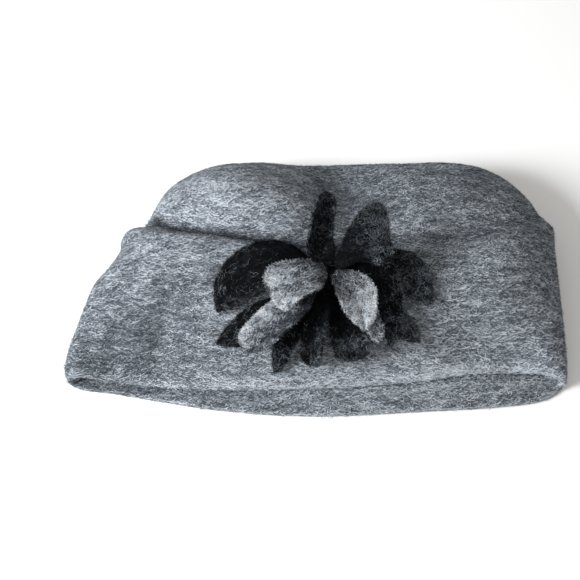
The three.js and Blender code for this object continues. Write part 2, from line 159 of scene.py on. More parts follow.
# Painted light (over 0) and painted shade (under 0) on the front. It is paler on the crown's left lobe and over the
# tuck, which face the lamp, and under the flower against its shadow. It is darker in the crown's valley, on the
# crown's right, on the lower left band and at the left rim, which face away or lie in shade.
PAINTED_LIGHT_AND_SHADE = [
    Patch("crown_left", -0.2, 0.33, -10.0, 0.34, 0.14, 0.15),
    Patch("crown_valley", 0.07, 0.36, 100.0, 0.2, 0.13, -0.22),
    Patch("crown_right", 0.24, 0.3, 10.0, 0.3, 0.14, -0.08),
    Patch("over_tuck", -0.2, 0.16, -14.0, 0.3, 0.06, 0.14),
    Patch("left_low_band", -0.34, -0.25, 30.0, 0.3, 0.14, -0.2),
    Patch("under_flower", 0.1, -0.36, 0.0, 0.4, 0.1, 0.12),
    Patch("left_rim", -0.4, -0.42, 0.0, 0.3, 0.06, -0.1),
]

FRONT_ROWS = [
    FrontRow(0.0, 0.0, 0.0),
    FrontRow(0.035, 0.035, 0.0),
    FrontRow(0.09, 0.09, 0.0),
    FrontRow(0.16, 0.16, 0.0),
    FrontRow(0.24, 0.24, 0.0),
    FrontRow(0.33, 0.33, 0.0),
    FrontRow(0.42, 0.42, 0.08),
    FrontRow(0.5, 0.53, 0.35),
    FrontRow(0.56, 0.61, 0.72),
    FrontRow(0.6, 0.66, 0.97),
    FrontRow(0.63, 0.684, 1.0),
    FrontRow(0.65, 0.698, 0.88),
    FrontRow(0.67, 0.704, 0.62),
    FrontRow(0.685, 0.7, 0.25),
    FrontRow(0.7, 0.68, -0.1),
    FrontRow(0.715, 0.704, -0.75),
    FrontRow(0.73, 0.735, -1.0),
    FrontRow(0.755, 0.752, -0.8),
    FrontRow(0.79, 0.778, -0.3),
    FrontRow(0.83, 0.825, -0.05),
    FrontRow(0.87, 0.87, 0.0),
    FrontRow(0.91, 0.91, 0.0),
    FrontRow(0.945, 0.945, 0.0),
    FrontRow(0.97, 0.97, 0.0),
    FrontRow(0.987, 0.987, 0.0),
    FrontRow(1.0, 1.0, 0.0),
]


class Tone(Enum):
    """The colours that the flower's felt is dyed in."""

    CHARCOAL = "charcoal"
    MIXED = "charcoal with grey carded in"
    LIGHT = "light heather"


class Follow(Enum):
    """What a felt's streaks follow: the object's own axes, or the piece's own length."""

    OBJECT = "Object"
    PIECE = "UV"


class Petal(NamedTuple):
    """One petal: where it starts, bends and ends, and how it is cut, curled and creased.

    turn is the root's place round the core, in degrees, and tier its storey. mid and tip are right of,
    behind and above the core's foot, x and y as shares of the flower's radius and the rise over the
    cap as a share of the core's height. left and right are its half widths at STATIONS. dye says how
    much paler than the ordinary tone it is drawn at the root, at the tip, and on its left. The darker
    roots are painted shade where the petals crowd in at the core. The tip and side terms are partly
    the felt's own tone and partly painted light and shade.
    """

    node: str
    turn: float
    tier: float
    mid: tuple[float, float, float]
    tip: tuple[float, float, float]
    left: tuple[float, ...]
    right: tuple[float, ...]
    roll: float
    cup: float
    crease: float
    ripple: float
    dye_and_painted_light: tuple[float, float, float]
    tone: Tone


# The places along a petal that its half widths are given for.
STATIONS = (0.15, 0.3, 0.5, 0.7, 0.85, 1.0)
PETALS = [
    Petal(
        "petal_top_spike", 108, 3, (-0.13, 0.42, 1.25), (0.0, 0.9, 1.3),
        (8, 10, 10, 9, 8.5, 7), (8, 10, 10, 9, 8.5, 7), 30, 76, 1.6, 0.5, (-0.3, 0.08, 0.0), Tone.MIXED,
    ),
    Petal(
        "petal_upper_right", 32, 3, (0.28, 0.14, 1.45), (0.56, 0.21, 1.5),
        (5, 8, 15, 22, 23.5, 23), (5, 7, 9, 12, 13.5, 14), 14, 26, 0.8, 1.6, (-0.9, 0.12, 0.15), Tone.MIXED,
    ),
    Petal(
        "petal_left", 172, 1, (-0.58, 0.06, 0.66), (-1.07, -0.31, 0.26),
        (4, 7, 10.5, 10, 6.5, 2.5), (5, 11, 14.5, 16, 13.5, 5), 0, 10, 0.7, 1.2, (-0.25, -0.02, 0.0), Tone.CHARCOAL,
    ),
    Petal(
        "petal_light_left", -166, 3, (-0.27, -0.14, 1.5), (-0.57, -0.28, 1.35),
        (6, 10, 15, 17, 17, 14), (5, 7, 10, 13, 14, 12), 6, 22, 1.8, 1.8, (-0.25, 0.1, 0.05), Tone.LIGHT,
    ),
    Petal(
        "petal_light_lower_left", -132, 2, (-0.43, -0.38, 1.0), (-0.84, -0.63, 0.95),
        (3.5, 7, 10, 11, 10, 7), (3.5, 6.5, 9.5, 9.5, 8, 6), -6, 16, 1.4, 1.4, (-0.5, 0.05, -0.45), Tone.LIGHT,
    ),
    Petal(
        "petal_lower_left", -148, 1, (-0.6, -0.36, 0.46), (-1.08, -0.56, 0.3),
        (3, 7, 11, 11, 7.5, 1.5), (3, 6, 9.5, 9, 6, 1.5), -12, 8, 0.5, 1.0, (-0.3, 0.04, 0.0), Tone.CHARCOAL,
    ),
    Petal(
        "petal_lower_spike", -128, 0, (-0.37, -0.46, 0.2), (-0.53, -0.76, 0.24),
        (3, 5, 6, 5.5, 4, 1.2), (3, 5, 6.5, 6, 4, 1.2), 0, 24, 0.4, 0.7, (-0.1, 0.2, -0.1), Tone.CHARCOAL,
    ),
    Petal(
        "petal_lower_middle", -102, 1, (-0.12, -0.43, 0.52), (-0.18, -0.71, 0.36),
        (3, 6, 8.5, 8.5, 8, 6), (3, 6, 8.5, 8.5, 8, 6), 10, 80, 0.0, 0.8, (-0.6, 0.0, 0.1), Tone.MIXED,
    ),
    Petal(
        "petal_lower_right", -76, 0, (0.13, -0.4, 0.4), (0.22, -0.68, 0.5),
        (3, 8, 13, 15, 14, 9), (3, 6, 10, 12, 11.5, 7), 0, 34, 0.5, 1.0, (-1.3, 0.06, 0.0), Tone.MIXED,
    ),
    Petal(
        "petal_light_right", -44, 3, (0.22, -0.3, 1.4), (0.31, -0.53, 1.35),
        (7.5, 11, 12, 9.5, 6.5, 2), (6, 8.5, 9.5, 8, 5, 1.5), 8, 20, 1.2, 1.0, (-0.2, 0.35, 0.15), Tone.LIGHT,
    ),
    Petal(
        "petal_under_right", -54, 2, (0.3, -0.35, 1.2), (0.45, -0.6, 1.15),
        (3, 4.5, 5.5, 5.5, 4.5, 2), (3, 4.5, 5, 5, 4, 2), 0, 14, 0.3, 0.4, (-0.4, 0.1, 0.0), Tone.LIGHT,
    ),
    Petal(
        "petal_inner_right", -10, 1, (0.42, 0.03, 1.0), (0.56, -0.58, 0.75),
        (3.5, 7, 9.5, 9.5, 8, 5), (3.5, 7, 9, 8.5, 7, 4), 0, 10, 0.5, 0.8, (-0.4, 0.1, 0.1), Tone.CHARCOAL,
    ),
    Petal(
        "petal_right", 12, 0, (0.57, 0.09, 0.3), (0.95, -0.23, 0.4),
        (3, 8, 14, 14, 9, 2.5), (3, 5, 8, 9, 7, 3), 4, 10, 0.6, 1.4, (-0.6, 0.15, 0.0), Tone.MIXED,
    ),
    Petal(
        "petal_far_right", -33, 0, (0.46, -0.28, 0.3), (0.85, -0.49, 0.42),
        (2.5, 4.5, 7, 8, 6.5, 2.5), (2.5, 4.5, 7, 8, 6.5, 2.5), 12, 14, 0.6, 1.0, (-0.6, 0.25, 0.1), Tone.MIXED,
    ),
]


def linear(code: str) -> tuple[float, float, float, float]:
    """Turns an sRGB hex colour to the linear values that the shaders take.

    Args:
        code: The colour, such as "#8a8d92".

    Returns:
        Red, green, blue and alpha.
    """
    channels = [int(code[i : i + 2], 16) / 255 for i in (1, 3, 5)]
    low, high = 0.04045, 2.4
    line = [c / 12.92 if c <= low else ((c + 0.055) / 1.055) ** high for c in channels]
    return (line[0], line[1], line[2], 1.0)


def add_node(tree: bpy.types.NodeTree, kind: str, inputs: dict | None = None, **settings) -> bpy.types.Node:
    """Adds one node, with its settings, and sets or links its inputs.

    Args:
        tree: The material's or the modifier's node tree.
        kind: The node's type.
        inputs: A value, or a socket to link, for each input's name or number.
        **settings: The node's own properties.

    Returns:
        The new node.
    """
    node = tree.nodes.new(kind)
    for name, value in settings.items():
        setattr(node, name, value)
    for key, value in (inputs or {}).items():
        if isinstance(value, bpy.types.NodeSocket):
            tree.links.new(value, node.inputs[key])
        else:
            node.inputs[key].default_value = value
    return node


def smooth(share: np.ndarray | float) -> np.ndarray:
    """Eases a share from 0 to 1."""
    s = np.clip(share, 0.0, 1.0)
    return s * s * (3 - 2 * s)


def mix(a: np.ndarray | float, b: np.ndarray | float, share: np.ndarray | float) -> np.ndarray:
    """Goes from a to b by a share."""
    return a + (b - a) * share


def bulge(distance: np.ndarray, radius: np.ndarray) -> np.ndarray:
    """Rise of a rounded fold, from 0 to 1, at a distance in from its edge."""
    return np.sqrt(np.clip(1 - (1 - np.clip(distance / radius, 0, 1)) ** 2, 0, 1))


def curve_through(xs: np.ndarray, ys: np.ndarray, at: np.ndarray) -> np.ndarray:
    """Reads a smooth curve through a table's rows.

    Args:
        xs: The rows' places, rising.
        ys: The rows' values.
        at: The places to read.

    Returns:
        The curve's values there.
    """
    slopes = np.empty_like(ys)
    slopes[1:-1] = (ys[2:] - ys[:-2]) / (xs[2:] - xs[:-2])
    slopes[0] = (ys[1] - ys[0]) / (xs[1] - xs[0])
    slopes[-1] = (ys[-1] - ys[-2]) / (xs[-1] - xs[-2])
    i = np.clip(np.searchsorted(xs, at, side="left") - 1, 0, len(xs) - 2)
    span = xs[i + 1] - xs[i]
    q = np.clip((at - xs[i]) / span, 0, 1)
    start = (2 * q**3 - 3 * q**2 + 1) * ys[i] + (q**3 - 2 * q**2 + q) * span * slopes[i]
    end = (3 * q**2 - 2 * q**3) * ys[i + 1] + (q**3 - q**2) * span * slopes[i + 1]
    return start + end


def column(rows: list, name: str) -> np.ndarray:
    """One named column of a table."""
    return np.array([getattr(row, name) for row in rows], float)


def soft_noise(points: np.ndarray, size: float, seed: float) -> np.ndarray:
    """Gives each point a smooth random value from about -1 to 1.

    Args:
        points: The points, in millimetres, in rows of three.
        size: How far apart the noise's hills are, in millimetres.
        seed: Sets this noise apart from others.

    Returns:
        One value for each point.
    """
    shift = Vector((seed * 17.3, seed * -9.1, seed * 5.7))
    return np.array([noise.noise(Vector(p) / size + shift) for p in points])


def mesh_object(name: str, points: np.ndarray, faces: list[np.ndarray]) -> bpy.types.Object:
    """Makes a smooth-shaded mesh object at the origin.

    Args:
        name: The piece's name.
        points: Its points in millimetres, in rows of three.
        faces: Arrays of faces, each with as many columns as its faces have corners.

    Returns:
        The object, in the scene.
    """
    used = np.unique(np.concatenate([f.ravel() for f in faces]))
    place = np.zeros(len(points), int)
    place[used] = np.arange(len(used))
    listed = [tuple(int(v) for v in face) for f in faces for face in place[f]]
    mesh = bpy.data.meshes.new(name)
    mesh.from_pydata([tuple(p) for p in points[used] * MM], [], listed)
    mesh.validate()
    mesh.shade_smooth()
    piece = bpy.data.objects.new(name, mesh)
    bpy.context.scene.collection.objects.link(piece)
    return piece


def quads(a: np.ndarray, b: np.ndarray) -> np.ndarray:
    """Joins two rows of point numbers with four-sided faces, in the order of the first row."""
    return np.stack([a[:-1], a[1:], b[1:], b[:-1]], axis=1)


def grid_quads(rows: np.ndarray) -> np.ndarray:
    """Four-sided faces over a whole grid of point numbers."""
    return np.concatenate([quads(rows[j], rows[j + 1]) for j in range(len(rows) - 1)])


def store(piece: bpy.types.Object, name: str, values: np.ndarray) -> None:
    """Keeps a value or a direction for each of a piece's points.

    Args:
        piece: The mesh object.
        name: The attribute's name.
        values: One number, or three, for each point.
    """
    kind, slot = ("FLOAT", "value") if values.ndim == 1 else ("FLOAT_VECTOR", "vector")
    attribute = piece.data.attributes.new(name, kind, "POINT")
    attribute.data.foreach_set(slot, np.ascontiguousarray(values, np.float32).ravel())


# Fibres mat in three crossing directions, in degrees from the felt's own grain.
GRAIN_TURNS = (-32, 4, 38)
# Single curly fibres: how widely two sets of them wander, in millimetres, and a shift that parts them.
CURLY_SETS = ((3.1, 11.0), (2.3, 47.0))


@dataclass(frozen=True)
class FeltFinish:
    """Milled wool felt: matt, cloudy, and streaked with fibres that lie in the surface.

    Fulling mats the wool so that single fibres show as short pale strokes on a darker ground. They
    take the light at a low angle, so the felt has a soft bloom and no gloss at all.
    """

    name: str
    ground: str
    body: str
    pale: str
    follow: Follow
    streak_long: float = 5.5
    streak_wide: float = 0.95
    strokes: float = 0.5
    cloud: float = 14.0
    blotch: float = 1.0
    bloom: float = 0.2
    relief: float = 0.5

    def material(self) -> bpy.types.Material:
        """Builds the finish.

        Returns:
            The material, with its streaks, strokes, clouding and relief.
        """
        material = bpy.data.materials.new(self.name)
        material.use_nodes = True
        tree = material.node_tree
        tree.nodes.clear()
        add = partial(add_node, tree)
        place = add("ShaderNodeTexCoord").outputs[self.follow.value]
        per_mm = (1 / MM, 1 / MM, 1 / MM)
        in_mm = add("ShaderNodeVectorMath", {0: place, 1: per_mm}, operation="MULTIPLY").outputs[0]
        streaks = self._streaks(tree, in_mm)
        strokes = self._strokes(tree, in_mm)
        ramp = add("ShaderNodeValToRGB", {0: self._tone(tree, in_mm, streaks)})
        stops = ramp.color_ramp.elements
        stops[0].position, stops[0].color = 0.38, linear(self.ground)
        stops[1].position, stops[1].color = 0.62, linear(self.pale)
        stops.new(0.5).color = linear(self.body)
        amount = add("ShaderNodeMath", {0: strokes, 1: self.strokes}, operation="MULTIPLY").outputs[0]
        pales = {0: amount, 6: ramp.outputs[0], 7: linear(self.pale)}
        colour = add("ShaderNodeMix", pales, data_type="RGBA").outputs[2]
        raised = {0: strokes, 1: 0.5, 2: streaks}
        height = add("ShaderNodeMath", raised, operation="MULTIPLY_ADD").outputs[0]
        bump = add("ShaderNodeBump", {"Strength": self.relief, "Distance": 0.5 * MM, "Height": height})
        shader = add(
            "ShaderNodeBsdfPrincipled",
            {
                "Base Color": colour,
                "Roughness": 0.95,
                "Specular IOR Level": 0.05,
                "Sheen Weight": self.bloom,
                "Sheen Roughness": 0.45,
                "Sheen Tint": linear(self.pale),
                "Normal": bump.outputs[0],
            },
        )
        add("ShaderNodeOutputMaterial", {0: shader.outputs[0]})
        return material

    def _tone(
        self, tree: bpy.types.NodeTree, in_mm: bpy.types.NodeSocket, streaks: bpy.types.NodeSocket
    ) -> bpy.types.NodeSocket:
        """How pale the wool is drawn: its streaks and clouds, and the piece's own tone with its painted light and
        shade.

        Args:
            tree: The material's nodes.
            in_mm: The place on the felt, in millimetres.
            streaks: The matted streaks, from 0 to 1.

        Returns:
            The tone, with 0.5 for the ordinary wool.
        """
        add = partial(add_node, tree)
        clouding = {"Vector": in_mm, "Scale": 1 / self.cloud, "Detail": 3.0, "Roughness": 0.6}
        cloud = add("ShaderNodeTexNoise", clouding).outputs[0]
        cloud = add("ShaderNodeMath", {0: cloud, 1: 0.5}, operation="SUBTRACT").outputs[0]
        cloud = add("ShaderNodeMath", {0: cloud, 1: self.blotch, 2: 0.5}, operation="MULTIPLY_ADD").outputs[0]
        tone = add("ShaderNodeMath", {0: streaks, 1: cloud}, operation="ADD").outputs[0]
        # The piece's own tone with its painted light and painted shade, kept as an attribute.
        dye_and_painted_light = add("ShaderNodeAttribute", attribute_name="dye_and_painted_light").outputs["Fac"]
        tone = add("ShaderNodeMath", {0: tone, 1: dye_and_painted_light}, operation="ADD").outputs[0]
        return add("ShaderNodeMath", {0: tone, 1: 0.5}, operation="MULTIPLY").outputs[0]

    def _streaks(self, tree: bpy.types.NodeTree, in_mm: bpy.types.NodeSocket) -> bpy.types.NodeSocket:
        """Matted fibres, as noise drawn out along three crossing directions.

        Args:
            tree: The material's nodes.
            in_mm: The place on the felt, in millimetres.

        Returns:
            The streaks' height, from 0 to 1.
        """
        add = partial(add_node, tree)
        total = None
        for turn in GRAIN_TURNS:
            drawing = {
                "Vector": in_mm,
                "Rotation": (0, 0, math.radians(turn)),
                "Scale": (self.streak_long, self.streak_wide, self.streak_wide * 1.6),
                "Location": (turn * 3.1, turn * 1.7, 0),
            }
            drawn = add("ShaderNodeMapping", drawing, vector_type="TEXTURE").outputs[0]
            matted = {"Vector": drawn, "Scale": 1.0, "Detail": 2.0, "Roughness": 0.65, "Distortion": 0.5}
            streak = add("ShaderNodeTexNoise", matted).outputs[0]
            if total is None:
                total = streak
            else:
                total = add("ShaderNodeMath", {0: total, 1: streak}, operation="ADD").outputs[0]
        spread = {0: total, 1: 1.2, 2: 1.8, 3: 0.0, 4: 1.0}
        return add("ShaderNodeMapRange", spread).outputs[0]

    def _strokes(self, tree: bpy.types.NodeTree, in_mm: bpy.types.NodeSocket) -> bpy.types.NodeSocket:
        """Single curly fibres, as the thin lines where a wandering noise passes its middle value.

        Args:
            tree: The material's nodes.
            in_mm: The place on the felt, in millimetres.

        Returns:
            1 on a fibre and 0 beside it.
        """
        add = partial(add_node, tree)
        lines = None
        for size, shift in CURLY_SETS:
            drawing = {"Vector": in_mm, "Location": (shift, -shift, shift), "Scale": (size * 2.2, size, size)}
            drawn = add("ShaderNodeMapping", drawing, vector_type="TEXTURE").outputs[0]
            curling = {"Vector": drawn, "Scale": 1.0, "Detail": 1.5, "Distortion": 1.4}
            wander = add("ShaderNodeTexNoise", curling).outputs[0]
            off = add("ShaderNodeMath", {0: wander, 1: 0.5}, operation="SUBTRACT").outputs[0]
            off = add("ShaderNodeMath", {0: off}, operation="ABSOLUTE").outputs[0]
            # A fibre is 0.03 mm thick. It is drawn about 0.3 mm wide, so that it shows.
            line = add("ShaderNodeMapRange", {0: off, 1: 0.012, 2: 0.03, 3: 1.0, 4: 0.0}).outputs[0]
            if lines is None:
                lines = line
            else:
                lines = add("ShaderNodeMath", {0: lines, 1: line}, operation="MAXIMUM").outputs[0]
        return lines


@dataclass(frozen=True)
class FibreFinish:
    """Loose wool fibres on the felt: matt, and each of its own tone, so that the felt looks carded.

    Wool is carded unevenly, so fibres of one tone lie in drifts. drift says how much paler or darker
    a drift is, and middle_at what share of the fibres is darker than the middle colour.
    """

    name: str
    dark: str
    middle: str
    pale: str
    drift: float = 0.2
    middle_at: float = 0.55
    drift_long: float = 18.0
    drift_wide: float = 5.0

    def material(self) -> bpy.types.Material:
        """Builds the finish, which reads each fibre's tone.

        Returns:
            The material.
        """
        material = bpy.data.materials.new(self.name)
        material.use_nodes = True
        tree = material.node_tree
        tree.nodes.clear()
        add = partial(add_node, tree)
        tone = add("ShaderNodeAttribute", attribute_name="tone").outputs["Fac"]
        place = add("ShaderNodeTexCoord").outputs["Object"]
        size = (self.drift_long * MM, self.drift_wide * MM, self.drift_wide * MM)
        drawn = add("ShaderNodeMapping", {"Vector": place, "Scale": size}, vector_type="TEXTURE").outputs[0]
        carded = {"Vector": drawn, "Scale": 1.0, "Detail": 3.0, "Roughness": 0.6}
        drift = add("ShaderNodeTexNoise", carded).outputs[0]
        drifts = {0: drift, 1: 0.3, 2: 0.7, 3: -self.drift, 4: self.drift}
        drift = add("ShaderNodeMapRange", drifts).outputs[0]
        tone = add("ShaderNodeMath", {0: tone, 1: drift}, operation="ADD").outputs[0]
        # The felt's own tone with its painted light and painted shade, carried onto its fibres.
        dye_and_painted_light = add("ShaderNodeAttribute", attribute_name="dye_and_painted_light").outputs["Fac"]
        tone = add("ShaderNodeMath", {0: tone, 1: dye_and_painted_light}, operation="ADD").outputs[0]
        ramp = add("ShaderNodeValToRGB", {0: tone})
        stops = ramp.color_ramp.elements
        stops[0].color = linear(self.dark)
        stops[1].color = linear(self.pale)
        stops.new(self.middle_at).color = linear(self.middle)
        wool = {"Base Color": ramp.outputs[0], "Roughness": 0.85, "Specular IOR Level": 0.1}
        shader = add("ShaderNodeBsdfPrincipled", wool)
        add("ShaderNodeOutputMaterial", {0: shader.outputs[0]})
        return material


@dataclass(frozen=True)
class Fuzz:
    """Loose fibres that lie on a felt piece, each a narrow curved ribbon.

    density is fibres a square metre where the piece's fuzz is 1. length, width, arch and clear are
    millimetres: arch is how far a fibre's ends bend, and clear how far it lies off the felt. spread
    and lift are how far it turns from the piece's flow and out of its surface, in degrees.
    """

    density: float
    length: float
    width: float
    spread: float
    lift: float
    arch: float
    seed: int
    clear: float = 0.0

    def tree(self) -> bpy.types.NodeTree:
        """Finds the nodes that scatter the fibres, and builds them the first time.

        Returns:
            A tree that turns a felt piece into its fibres alone.
        """
        name = "felt_fibres"
        if name in bpy.data.node_groups:
            return bpy.data.node_groups[name]
        tree = bpy.data.node_groups.new(name, "GeometryNodeTree")
        sockets = tree.interface
        sockets.new_socket("Felt", in_out="INPUT", socket_type="NodeSocketGeometry")
        for size in ("Density", "Length", "Width", "Spread", "Lift", "Arch", "Clear"):
            sockets.new_socket(size, in_out="INPUT", socket_type="NodeSocketFloat")
        sockets.new_socket("Seed", in_out="INPUT", socket_type="NodeSocketInt")
        sockets.new_socket("Material", in_out="INPUT", socket_type="NodeSocketMaterial")
        sockets.new_socket("Fibres", in_out="OUTPUT", socket_type="NodeSocketGeometry")
        add = partial(add_node, tree)
        given = add("NodeGroupInput").outputs
        share = add("GeometryNodeInputNamedAttribute", {"Name": "fuzz"}, data_type="FLOAT").outputs[0]
        density = add("ShaderNodeMath", {0: given["Density"], 1: share}, operation="MULTIPLY").outputs[0]
        roots = add(
            "GeometryNodeDistributePointsOnFaces",
            {"Mesh": given["Felt"], "Density": density, "Seed": given["Seed"]},
            distribute_method="RANDOM",
        ).outputs
        later, latest, own = (
            add("ShaderNodeMath", {0: given["Seed"], 1: step}, operation="ADD").outputs[0]
            for step in (7.0, 13.0, 29.0)
        )
        turned = self._turned(tree, given, roots["Normal"], later)
        sizes = {2: 0.45, 3: 1.35, "Seed": latest}
        size = add("FunctionNodeRandomValue", sizes, data_type="FLOAT").outputs[1]
        scale = add("ShaderNodeCombineXYZ", {0: size, 1: 1.0, 2: size}).outputs[0]
        fibre = self._fibre(tree, given)
        planted = {"Points": roots["Points"], "Instance": fibre, "Rotation": turned, "Scale": scale}
        placed = add("GeometryNodeInstanceOnPoints", planted).outputs[0]
        tone = add("FunctionNodeRandomValue", {2: 0.0, 3: 1.0, "Seed": own}, data_type="FLOAT").outputs[1]
        toned = add(
            "GeometryNodeStoreNamedAttribute",
            {"Geometry": placed, "Name": "tone", "Value": tone},
            data_type="FLOAT",
            domain="INSTANCE",
        ).outputs[0]
        solid = add("GeometryNodeRealizeInstances", {0: toned}).outputs[0]
        dressing = {"Geometry": solid, "Material": given["Material"]}
        dressed = add("GeometryNodeSetMaterial", dressing).outputs[0]
        add("NodeGroupOutput", {0: dressed})
        return tree

    def _turned(
        self,
        tree: bpy.types.NodeTree,
        given: bpy.types.NodeOutputs,
        normal: bpy.types.NodeSocket,
        later: bpy.types.NodeSocket,
    ) -> bpy.types.NodeSocket:
        """How each fibre is turned: along the flow, then aside and out of the surface by chance.

        Args:
            tree: The scattering nodes.
            given: The tree's own inputs.
            normal: The felt's outward direction at each root.
            later: A second seed.

        Returns:
            The fibres' rotation.
        """
        add = partial(add_node, tree)
        flow = add("GeometryNodeInputNamedAttribute", {"Name": "flow"}, data_type="FLOAT_VECTOR").outputs[0]
        lying = add(
            "FunctionNodeAxesToRotation", {0: normal, 1: flow}, primary_axis="Z", secondary_axis="X"
        ).outputs[0]
        angles = []
        for name, seed in (("Lift", later), ("Spread", given["Seed"])):
            less = add("ShaderNodeMath", {0: given[name], 1: -1.0}, operation="MULTIPLY").outputs[0]
            chance = {2: less, 3: given[name], "Seed": seed}
            angles.append(add("FunctionNodeRandomValue", chance, data_type="FLOAT").outputs[1])
        euler = add("ShaderNodeCombineXYZ", {1: angles[0], 2: angles[1]}).outputs[0]
        by = add("FunctionNodeEulerToRotation", {0: euler}).outputs[0]
        return add("FunctionNodeRotateRotation", {0: lying, 1: by}, rotation_space="LOCAL").outputs[0]

    def _fibre(self, tree: bpy.types.NodeTree, given: bpy.types.NodeOutputs) -> bpy.types.NodeSocket:
        """One fibre: a ribbon of two faces that bends sideways and lifts at its ends.

        Args:
            tree: The scattering nodes.
            given: The tree's own inputs.

        Returns:
            The ribbon.
        """
        add = partial(add_node, tree)
        grid = {"Size X": given["Length"], "Size Y": given["Width"], "Vertices X": 3, "Vertices Y": 2}
        ribbon = add("GeometryNodeMeshGrid", grid).outputs[0]
        spot = add("GeometryNodeInputPosition").outputs[0]
        along = add("ShaderNodeSeparateXYZ", {0: spot}).outputs[0]
        share = add("ShaderNodeMath", {0: along, 1: given["Length"]}, operation="DIVIDE").outputs[0]
        square = add("ShaderNodeMath", {0: share, 1: share}, operation="MULTIPLY").outputs[0]
        rise = add("ShaderNodeMath", {0: square, 1: given["Arch"]}, operation="MULTIPLY").outputs[0]
        # A fibre bends more in the surface than out of it.
        aside = add("ShaderNodeMath", {0: rise, 1: 2.2}, operation="MULTIPLY").outputs[0]
        above = add("ShaderNodeMath", {0: rise, 1: given["Clear"]}, operation="ADD").outputs[0]
        offset = add("ShaderNodeCombineXYZ", {1: aside, 2: above}).outputs[0]
        return add("GeometryNodeSetPosition", {"Geometry": ribbon, "Offset": offset}).outputs[0]

    def scatter(self, name: str, felt: bpy.types.Object, material: bpy.types.Material) -> bpy.types.Object:
        """Grows the fibres on a felt piece, as a plain mesh of their own.

        Args:
            name: The new piece's name.
            felt: The felt piece, with its fuzz, flow and dye attributes.
            material: The fibres' finish.

        Returns:
            The fibres, in the scene.
        """
        carrier = bpy.data.objects.new(name + "_carrier", felt.data)
        bpy.context.scene.collection.objects.link(carrier)
        modifier = carrier.modifiers.new("fibres", "NODES")
        modifier.node_group = self.tree()
        values = {
            "Density": self.density,
            "Length": self.length * MM,
            "Width": self.width * MM,
            "Spread": math.radians(self.spread),
            "Lift": math.radians(self.lift),
            "Arch": self.arch * MM,
            "Clear": self.clear * MM,
            "Seed": self.seed,
            "Material": material,
        }
        for item in modifier.node_group.interface.items_tree:
            if item.in_out == "INPUT" and item.name in values:
                modifier[item.identifier] = values[item.name]
        ready = carrier.evaluated_get(bpy.context.evaluated_depsgraph_get())
        mesh = bpy.data.meshes.new_from_object(ready)
        mesh.name = name
        fibres = bpy.data.objects.new(name, mesh)
        bpy.context.scene.collection.objects.link(fibres)
        carrier.modifiers.clear()
        bpy.data.objects.remove(carrier)
        if not mesh.materials:
            mesh.materials.append(material)
        return fibres


